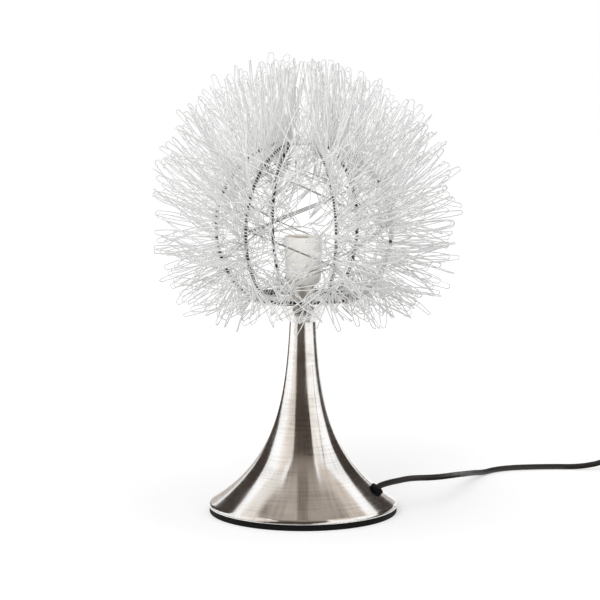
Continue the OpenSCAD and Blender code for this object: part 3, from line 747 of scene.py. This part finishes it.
def coil_route(sizes):
    """Out of the switch's link, in to the middle on the floor, and back out on top."""
    half = COIL_TURNS / 2
    route = []
    for i in range(COIL_TURNS * COIL_POINTS + 1):
        t = i / COIL_POINTS
        radius = sizes.coil_radius - sizes.coil_step * min(t, COIL_TURNS - t)
        climb = sizes.coil_step * min(1, max(0, (t - half) * 2 + 0.5))
        route.append(COIL_AT + polar(radius, -math.tau * t, COIL_LOW + climb))
    return route


class LAMP_OT_cords(Step, bpy.types.Operator):
    """Mains cord: from the base to the switch, and from the switch through the coil to the plug"""

    bl_idname = "lamp.cords"
    bl_label = "Cords"

    def build(self, sizes, counts):
        exit_at = GROMMET_AT + GROMMET_OUT * LEAD_START
        lead = [exit_at, GROMMET_AT + GROMMET_OUT * LEAD_STUB, *LEAD_ROUTE]
        lead_cord = self.lay("lamp_lead", lead, sizes.cord, ["cord_lead"])
        far = [*LINK_ROUTE, *coil_route(sizes), *TAIL_ROUTE]
        far_cord = self.lay("plug_lead", far, sizes.cord, ["cord_link", "cord_coil", "cord_tail"])
        inner = [GROMMET_AT - GROMMET_OUT * INNER_DEPTH]
        across = GROMMET_AT.xy.normalized()
        inner += [Vector((across.x * r, across.y * r, z)) for r, z in INNER_ROUTE]
        hidden = new_curve("inner_lead", "BEZIER", [inner], sizes.cord, 2)
        hidden.data.resolution_u = CORD_STEPS
        bpy.ops.object.convert(target="MESH")
        closed_up(bpy.context.object)
        put(bpy.context.object, "base", look("cord"), ["inner_cord"])

    def lay(self, name, route, width, nodes):
        obj = new_curve(name, "BEZIER", [route], width, 4)
        obj.data.resolution_u = CORD_STEPS
        return put(obj, "base", look("cord"), nodes)


# The base
LIP_WALL = 0.0006
LIP_ROLL = 0.005
LIP_TURN = math.radians(57.7)
LIP_STEPS = 10
LIP_SHEETS = 2
WALL_SHEETS = 1.6
NECK_EDGE = 0.0004
PAD_EDGE = 0.0009
DISH_STEPS = 36
STEM_PLAY = 0.0003


class LAMP_OT_base(Step, bpy.types.Operator):
    """Spun trumpet base and its foot pad"""

    bl_idname = "lamp.base"
    bl_label = "Base"

    def build(self, sizes, counts):
        steps = counts.flare
        rim = sizes.rim_width / 2
        low = sizes.foot_height
        inside = rim - LIP_SHEETS * sizes.sheet
        edge = [(inside, low), (rim - 0.5 * LIP_WALL, low), (rim, low + 0.5 * LIP_WALL)]
        for i in range(LIP_STEPS):
            a = LIP_TURN * i / LIP_STEPS
            edge.append((rim - LIP_ROLL * (1 - math.cos(a)), low + LIP_WALL + LIP_ROLL * math.sin(a)))
        start = low + LIP_WALL + LIP_ROLL * math.sin(LIP_TURN)
        rise = [start + (sizes.neck_height - start) * i / steps for i in range(steps + 1)]
        outside = [(flare_radius(sizes, z), z) for z in rise]
        wall = [(flare_radius(sizes, z) - WALL_SHEETS * sizes.sheet, z) for z in reversed(rise[2:])]
        top = [(sizes.neck_width / 2 - NECK_EDGE, sizes.neck_height)]
        shell = spun("trumpet_base", [*edge, *outside, *top, *wall, edge[0]])
        put(shell, "base", look("nickel"), ["base_shell"])
        foot = sizes.foot_width / 2
        pad = eased([(0, 0), (foot, 0), (foot, low), (0, low)], PAD_EDGE)
        put(spun("foot_disc", pad), "base", look("rubber"), ["foot_pad"])


class LAMP_OT_dish(Step, bpy.types.Operator):
    """Small spun dish under the cage"""

    bl_idname = "lamp.dish"
    bl_label = "Dish"

    def build(self, sizes, counts):
        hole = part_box("stem_tube")[1].x + STEM_PLAY
        rise = [sizes.dish_height * i / DISH_STEPS for i in range(DISH_STEPS + 1)]
        under = [(dish_radius(sizes, v), sizes.neck_height + v) for v in rise]
        over = [(r, z + sizes.sheet) for r, z in reversed(under)]
        profile = [(hole, sizes.neck_height), *under, *over, (hole, sizes.neck_height + sizes.sheet),
                   (hole, sizes.neck_height)]
        put(spun("shade_saucer", profile), "base", look("nickel"), ["shade_dish"])


# The lampholder and the grommet
GROOVE = 0.0006
GROOVE_RISE = 0.004
CAP_SLOPE = 0.008
SEAM = (0.0006, 0.0008)
MOUTH_BAND = 0.004
THREAD = 0.0005
THREAD_DEPTH = 0.8
THREAD_TURNS = 5.5
SHELL_STEPS = 56
SHELL_SPIN = 64
BUSH_PLAY = 0.0002
BUSH_SEAT = 0.0003
BUSH_WALL = 0.0016
BUSH_LOW = -0.004
BUSH_EDGE = 0.0008
BUSH_SPIN = 48


class LAMP_OT_holder(Step, bpy.types.Operator):
    """Lampholder: collar, cap, skirt and screw shell"""

    bl_idname = "lamp.holder"
    bl_label = "Lampholder"

    def build(self, sizes, counts):
        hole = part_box("stem_tube")[1].x + STEM_PLAY
        floor = sizes.neck_height + sizes.sheet
        collar = sizes.collar_width / 2
        ring = floor + GROOVE_RISE
        line = [(hole, floor), (collar, floor), (collar, ring), (collar - GROOVE, ring + GROOVE),
                (collar - GROOVE, ring + 2 * GROOVE), (collar, ring + 3 * GROOVE), (collar, sizes.collar_top),
                (hole, sizes.collar_top), (hole, floor)]
        obj = spun("metal_collar", eased(line, 0.0007, 3))
        put(obj, "base", look("collar"), ["holder_collar"])
        cap = sizes.cap_width / 2
        line = [(hole, sizes.collar_top), (sizes.cap_low_width / 2, sizes.collar_top),
                (cap, sizes.collar_top + CAP_SLOPE), (cap, sizes.cap_top), (hole, sizes.cap_top),
                (hole, sizes.collar_top)]
        obj = spun("cream_cap", eased(line, 0.0025, 6))
        put(obj, "base", look("cream"), ["holder_cap"])
        bore = sizes.skirt_bore / 2
        mouth = sizes.skirt_width / 2
        line = [(bore, sizes.cap_top), (cap - SEAM[0], sizes.cap_top), (cap, sizes.cap_top + SEAM[1]),
                (mouth, sizes.skirt_top - MOUTH_BAND), (mouth, sizes.skirt_top), (bore, sizes.skirt_top),
                (bore, sizes.cap_top)]
        obj = spun("cream_skirt", eased(line, 0.0009, 4))
        put(obj, "base", look("cream"), ["holder_skirt"])
        high = sizes.shell_top - sizes.shell_low
        wave = []
        for i in range(SHELL_STEPS + 1):
            t = i / SHELL_STEPS
            dent = 0.5 + 0.5 * math.cos(math.tau * THREAD_TURNS * t)
            wave.append((sizes.shell_bore / 2 + THREAD_DEPTH * THREAD * dent, sizes.shell_low + high * t))
        outer = [(r + THREAD, z) for r, z in reversed(wave)]
        obj = spun("brass_shell", [*wave, *outer, wave[0]], SHELL_SPIN)
        put(obj, "base", look("brass"), ["screw_shell"])


class LAMP_OT_grommet(Step, bpy.types.Operator):
    """Cord grommet on the flank of the base"""

    bl_idname = "lamp.grommet"
    bl_label = "Grommet"

    def build(self, sizes, counts):
        bore = sizes.cord / 2 + BUSH_PLAY
        flange = sizes.flange / 2
        neck = sizes.cord / 2 + BUSH_WALL
        line = [(bore, BUSH_LOW), (neck, BUSH_LOW), (neck, BUSH_SEAT), (flange, BUSH_SEAT),
                (flange, sizes.flange_height), (bore, sizes.flange_height), (bore, BUSH_LOW)]
        obj = spun("cord_bush", eased(line, BUSH_EDGE), BUSH_SPIN)
        turned = Z_AXIS.rotation_difference(GROMMET_OUT).to_matrix().to_4x4()
        obj.matrix_world = Matrix.Translation(GROMMET_AT) @ turned
        pick(obj)
        bpy.ops.object.transform_apply()
        put(obj, "base", look("rubber"), ["cord_grommet"])


# The cage and its wire
RING_POINTS = 96
RIB_POINTS = 40
LACE_CLIMB = 5
LACE_LEGS = 6
LACE_MARGIN = 0.05
LACE_APART = 0.0021


class LAMP_OT_cage(Step, bpy.types.Operator):
    """Black cage: two rings and six ribs"""

    bl_idname = "lamp.cage"
    bl_label = "Cage"

    def build(self, sizes, counts):
        for name, width, z, node in (("low_ring", sizes.ring_width, sizes.ring_height, "cage_bottom_ring"),
                                     ("high_ring", sizes.top_width, sizes.top_height, "cage_top_ring")):
            line = [polar(width / 2, math.tau * i / RING_POINTS, z) for i in range(RING_POINTS)]
            put(wire(name, [line], sizes.rod, 3, True), "shade", look("rod_paint"), [node])
        lines = [[on_rib(sizes, i / RIB_POINTS, 0, 0, rib_azimuth(sizes, k)) for i in range(RIB_POINTS + 1)]
                 for k in range(RIBS)]
        put(wire("bent_ribs", lines, sizes.rod, 3), "shade", look("rod_paint"), ["cage_ribs"])


class LAMP_OT_lacing(Step, bpy.types.Operator):
    """Two wires laced from rib to rib inside the cage"""

    bl_idname = "lamp.lacing"
    bl_label = "Lacing"

    def build(self, sizes, counts):
        for name, way, layer, node in (("lace_right", 1, 0, "lacing_wire_right"),
                                       ("lace_left", -1, 2, "lacing_wire_left")):
            line = []
            for leg in range(LACE_LEGS):
                down = leg % 2
                for i in range(LACE_CLIMB + 1):
                    step = i if down else LACE_CLIMB - i
                    share = LACE_MARGIN + (1 - 2 * LACE_MARGIN) * step / LACE_CLIMB
                    off = sizes.rod / 2 + sizes.wire + (layer + down) * LACE_APART
                    azimuth = rib_azimuth(sizes, way * (leg * LACE_CLIMB + i))
                    line.append(on_rib(sizes, share, -off, 0, azimuth))
            put(wire(name, [line], sizes.lace, 1), "shade", look("shaded_laced_wire"), [node])


# The loops, with angles in degrees down from the top where they bear no other unit
RIB_MARGIN = 0.004
TIP_TOP = 7
TIP_LOW = 152
FAN = math.radians(30)
TWIST = math.radians(40)
JITTER = 0.004
SPREAD_STEP = (0.618034, 0.7549, 0.5698)
SPREAD_SHIFT = (0.29, 0.41, 0.17)
SPREAD_RIBS = 3
FRONT_WAY = {4: -1, 5: 1}
FRONT_TOP = 64
FRONT_LOW = 92
FRONT_LEAN = 0.3
LEAN = 14
MORE_TOP = 14
MORE_REACH = (-0.006, 0.008)
MORE_RIGHT = ((0, 0.0), (35, -0.006), (50, -0.002), (70, 0.006), (90, 0.006), (110, 0.003), (125, 0.011),
              (160, 0.008))
MORE_LEFT = ((0, 0.002), (30, 0.006), (60, 0.001), (80, 0.003), (100, -0.005), (115, -0.002), (130, 0.009),
             (160, 0.004))
MORE_WIDTH = (0.8, 1.3)
MORE_SEAT = 0.6
LEAST_SINE = 0.4
RIB_BEND = 0.015
MORE_BEND = 0.045
WIRE_ANGLE = 70
APRON_SHARE = (0.78, 0.99)
APRON_TILT = (112, 152)
APRON_REACH = (-0.040, -0.008)
SLANT = 0.45
GORE_HALF = math.pi / RIBS
WINDOW_AT = math.radians(-97)
WINDOW_HALF = math.radians(24)
WINDOW_KEPT = 0.5
WINDOW_PUSH = 0.4
BALL_SHAPE = ((0, 0.93), (35, 0.94), (60, 0.98), (90, 1.0), (122, 1.06), (150, 0.91), (160, 0.87))
LEG = ((0.0, 0.25), (0.22, 0.5), (0.45, 0.9), (0.68, 1.2), (0.86, 1.15))
WIND_STEPS = (0.0011, 0.0060, 0.0060, 0.0026, 0.0028, 0.0028)
WIND_POINTS = 6
WIND_DRIFT = (0.4, 1.6)
WIND_FROM = 0.02
WIND_SPAN = 0.96
BAND_ENDS = (0.02, 0.98)
TOP_STEP = 0.0011
RING_STEP = 0.0040
TIP_TURNS = (50, 0, -50)


def on_gore(sizes, share, off, lean, azimuth):
    """A place on the wires laced straight between two ribs, lean being its angle from the rib."""
    place = on_rib(sizes, share, off, 0, azimuth)
    inward = math.cos(GORE_HALF) / math.cos(GORE_HALF - abs(lean))
    return polar(place.xy.length * inward, azimuth + lean, place.z)


def hairpin(dice, root, tip, side, half_tip, bend):
    """Points of one narrow loop from a root out to its rounded tip and back."""
    way = tip - root
    reach = way.length - half_tip
    way.normalize()
    side = (side - way * side.dot(way)).normalized()
    bow = (side * dice.gauss(0, bend) + way.cross(side) * dice.gauss(0, bend)) * reach
    middle = [root + way * reach * share + bow * math.sin(math.pi * share) for share, _ in LEG]
    half = [side * half_tip * wide for _, wide in LEG]
    head = root + way * reach
    line = [place + off for place, off in zip(middle, half)]
    for degrees in TIP_TURNS:
        a = math.radians(degrees)
        line.append(head + way * half_tip * math.cos(a) + side * half_tip * math.sin(a))
    line += [place - off for place, off in zip(reversed(middle), reversed(half))]
    return line


def spread(j, seed, i):
    """The j-th of a row of places from -1 to 1 that fall evenly without a pattern."""
    return 2 * ((j * SPREAD_STEP[i] + seed * SPREAD_SHIFT[i]) % 1) - 1


def winding(dice, sizes, start, end, azimuth, step):
    """Points of a wire wound round a rib, from one share of its length to another."""
    away = (sizes.rod + sizes.wire) / 2
    long = sizes.rib_radius * (sizes.rib_top - sizes.rib_low)
    line = []
    share = start
    while share < end:
        for i in range(WIND_POINTS):
            a = math.tau * i / WIND_POINTS
            line.append(on_rib(sizes, share, away * math.cos(a), away * math.sin(a), azimuth))
            share += step / long / WIND_POINTS * dice.uniform(*WIND_DRIFT)
    return line


def ring_winding(dice, sizes, ring, height, step, start):
    """Points of a wire wound round a ring, over the sixth of it before an azimuth."""
    away = (sizes.rod + sizes.wire) / 2
    line = []
    azimuth = start - 2 * GORE_HALF
    while azimuth < start:
        for i in range(WIND_POINTS):
            a = math.tau * i / WIND_POINTS
            line.append(polar(ring + away * math.cos(a), azimuth, height + away * math.sin(a)))
            azimuth += step / ring / WIND_POINTS * dice.uniform(*WIND_DRIFT)
    return line


class LAMP_OT_loops(Step, bpy.types.Operator):
    """Wire loops of the ball, one unbroken wire on each third of a rib"""

    bl_idname = "lamp.loops"
    bl_label = "Loops"

    def build(self, sizes, counts):
        dice = random.Random(counts.seed)
        rings = {"upper": (sizes.top_width / 2, sizes.top_height, TOP_STEP),
                 "lower": (sizes.ring_width / 2, sizes.ring_height, RING_STEP)}
        for rib in range(RIBS):
            azimuth = rib_azimuth(sizes, rib)
            rest = self.gore_places(dice, rib, counts.more)
            for band, word in enumerate(BANDS):
                ends = [WIND_FROM + WIND_SPAN * (band + i) / len(BANDS) for i in BAND_ENDS]
                line = []
                if word in rings:
                    line += ring_winding(dice, sizes, *rings[word], azimuth)
                line += winding(dice, sizes, *ends, azimuth, WIND_STEPS[rib])
                each = counts.loops // len(BANDS)
                for j in reversed(range(band * each, band * each + each)):
                    line += self.rib_loop(dice, sizes, rib, j, counts.loops)
                for share, lean, tilt in rest:
                    if int(share * len(BANDS)) == band:
                        line += self.gore_loop(dice, sizes, azimuth, share, lean, tilt, MORE_REACH)
                if word == "lower" and rib in FRONT_WAY:
                    for _ in range(counts.apron):
                        share = dice.uniform(*APRON_SHARE)
                        lean = dice.uniform(-1, 1) * GORE_HALF
                        tilt = dice.uniform(*APRON_TILT)
                        line += self.gore_loop(dice, sizes, azimuth, share, lean, tilt, APRON_REACH)
                name = f"hairpins_{rib + 1}_{word}"
                put(wire(name, [line], sizes.wire, 1), "shade", look("silver_wire"),
                    [f"wire_loops_{rib + 1}_{word}"], WIRE_ANGLE)

    def gore_places(self, dice, rib, number):
        """Share of the rib's length, angle from the rib and tilt of loops between ribs, in slanting order."""
        top = math.cos(math.radians(MORE_TOP))
        low = math.cos(math.radians(TIP_LOW))
        places = []
        for j in range(number):
            tilt = math.degrees(math.acos(top + (low - top) * (j + dice.random()) / number))
            share = min(0.99, max(0.01, (tilt - TIP_TOP) / (TIP_LOW - TIP_TOP)))
            places.append((share, dice.uniform(-1, 1) * GORE_HALF, tilt))
        slant = SLANT if rib % 2 else -SLANT
        return sorted(places, key=lambda place: place[0] + slant * place[1])

    def tip(self, sizes, tilt, azimuth, longer):
        reach = sizes.ball_radius * between(BALL_SHAPE, tilt) + longer
        a = math.radians(tilt)
        return Z_AXIS * sizes.ball_height + polar(math.sin(a), azimuth, math.cos(a)) * reach

    def rib_loop(self, dice, sizes, rib, j, loops):
        """A loop that starts on a rib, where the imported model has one."""
        seed = rib % SPREAD_RIBS
        azimuth = rib_azimuth(sizes, rib)
        step = (j + 0.5) / loops
        tilt = TIP_TOP + (TIP_LOW - TIP_TOP) * step
        place = spread(j, seed, 0)
        if FRONT_TOP <= tilt <= FRONT_LOW and rib in FRONT_WAY:
            place += FRONT_LEAN * (FRONT_WAY[rib] - place)
        toward = azimuth + FAN * place
        margin = RIB_MARGIN / (sizes.rib_radius * (sizes.rib_top - sizes.rib_low))
        root = on_rib(sizes, margin + (1 - 2 * margin) * step, sizes.rod / 2 + sizes.wire, 0, azimuth)
        tip = self.tip(sizes, tilt, toward, JITTER * spread(j, seed, 1))
        a = math.radians(tilt)
        twist = TWIST * spread(j, seed, 2)
        side = polar(math.cos(a), toward, -math.sin(a)) * math.cos(twist)
        side += polar(1, toward + math.pi / 2, 0) * math.sin(twist)
        return hairpin(dice, root, tip, side, sizes.loop_width / 2, RIB_BEND)

    def gore_loop(self, dice, sizes, azimuth, share, lean, tilt, longer):
        """A loop that starts on the laced wires beside a rib."""
        seat = sizes.rod / 2 + MORE_SEAT * sizes.wire
        root = on_gore(sizes, share, seat, lean, azimuth)
        tilt = min(TIP_LOW, abs(tilt + dice.gauss(0, LEAN)))
        swing = math.radians(dice.gauss(0, LEAN)) / max(LEAST_SINE, math.sin(math.radians(tilt)))
        toward = azimuth + lean + swing
        off = (toward - WINDOW_AT + math.pi) % math.tau - math.pi
        if abs(off) < WINDOW_HALF and FRONT_TOP < tilt < FRONT_LOW and dice.random() > WINDOW_KEPT:
            toward = WINDOW_AT + math.copysign(WINDOW_HALF + abs(off) * WINDOW_PUSH, off)
        across = math.cos(toward)
        grown = between(MORE_RIGHT if across > 0 else MORE_LEFT, tilt) * abs(across)
        tip = self.tip(sizes, tilt, toward, dice.uniform(*longer) + grown)
        side = Vector((dice.gauss(0, 1), dice.gauss(0, 1), dice.gauss(0, 1)))
        half_tip = sizes.loop_width / 2 * dice.uniform(*MORE_WIDTH)
        return hairpin(dice, root, tip, side, half_tip, MORE_BEND)


# What is on the cord: node, name, width and segments of the rounded edges, body, slot and look
SWITCH_PIECES = (
    ("switch_lower_case", "switch_shell_low", 0.0006, 2, "base", "black_plastic", "plastic"),
    ("switch_upper_case", "switch_shell_top", 0.0006, 2, "base", "black_plastic", "plastic"),
    ("switch_rocker", "switch_key", 0.0005, 2, "rocker", "rocker_plastic", "rocker"),
    ("switch_screws", "switch_heads", 0.0002, 2, "base", "plated_steel", "steel"),
)
PLUG_PIECES = (
    ("plug_body", "plug_moulding", 0.0016, 3, "base", "black_plastic", "plastic"),
    ("plug_pins", "plug_prongs", 0.0006, 2, "base", "plug_pin", "steel"),
    ("coil_tie", "cable_tie", 0.0003, 2, "base", "black_plastic", "plastic"),
)


def put_softened(rows):
    for node, name, width, segments, body, slot, finish in rows:
        put(softened(node, name, width, segments), body, look(finish), [node])


class LAMP_OT_switch(Step, bpy.types.Operator):
    """Rocker switch on the cord"""

    bl_idname = "lamp.switch"
    bl_label = "Switch"

    def build(self, sizes, counts):
        put_softened(SWITCH_PIECES)


class LAMP_OT_plug(Step, bpy.types.Operator):
    """Plug and the tie round the coil"""

    bl_idname = "lamp.plug"
    bl_label = "Plug"

    def build(self, sizes, counts):
        put_softened(PLUG_PIECES)


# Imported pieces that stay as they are
INNER_LOOKS = {
    "ballast": "iron", "lower_washer": "steel", "lower_nut": "steel", "stem_tube": "steel",
    "dish_nut": "steel", "holder_core": "cream", "centre_contact": "brass", "terminal_screws": "brass",
    "switch_contacts": "brass",
}


class LAMP_OT_inner(Step, bpy.types.Operator):
    """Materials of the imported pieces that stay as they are"""

    bl_idname = "lamp.inner"
    bl_label = "Inner pieces"

    def build(self, sizes, counts):
        for node, name in INNER_LOOKS.items():
            dress(node, look(name))


OPERATORS = (LAMP_OT_stage, LAMP_OT_switch, LAMP_OT_plug, LAMP_OT_cords, LAMP_OT_base, LAMP_OT_dish,
             LAMP_OT_holder, LAMP_OT_grommet, LAMP_OT_cage, LAMP_OT_lacing, LAMP_OT_loops, LAMP_OT_inner)


class LAMP_PT_panel(bpy.types.Panel):
    """Lists the steps that build the lamp"""

    bl_label = "Lamp"
    bl_idname = "LAMP_PT_panel"
    bl_space_type = "VIEW_3D"
    bl_region_type = "UI"
    bl_category = "Lamp"

    def draw(self, context):
        for step in OPERATORS:
            self.layout.operator(step.bl_idname)


GROUPS = (LampSizes, LampCounts, LampColours)


def register():
    for cls in (*GROUPS, *OPERATORS, LAMP_PT_panel):
        bpy.utils.register_class(cls)
    bpy.types.Scene.lamp_sizes = PointerProperty(type=LampSizes)
    bpy.types.Scene.lamp_counts = PointerProperty(type=LampCounts)
    bpy.types.Scene.lamp_colours = PointerProperty(type=LampColours)


def unregister():
    del bpy.types.Scene.lamp_colours
    del bpy.types.Scene.lamp_counts
    del bpy.types.Scene.lamp_sizes
    for cls in reversed((*GROUPS, *OPERATORS, LAMP_PT_panel)):
        bpy.utils.unregister_class(cls)


def main():
    register()
    make_materials(bpy.context.scene.lamp_colours)
    for step in OPERATORS:
        getattr(bpy.ops.lamp, step.bl_idname.split(".")[1])()


if __name__ == "__main__":
    main()
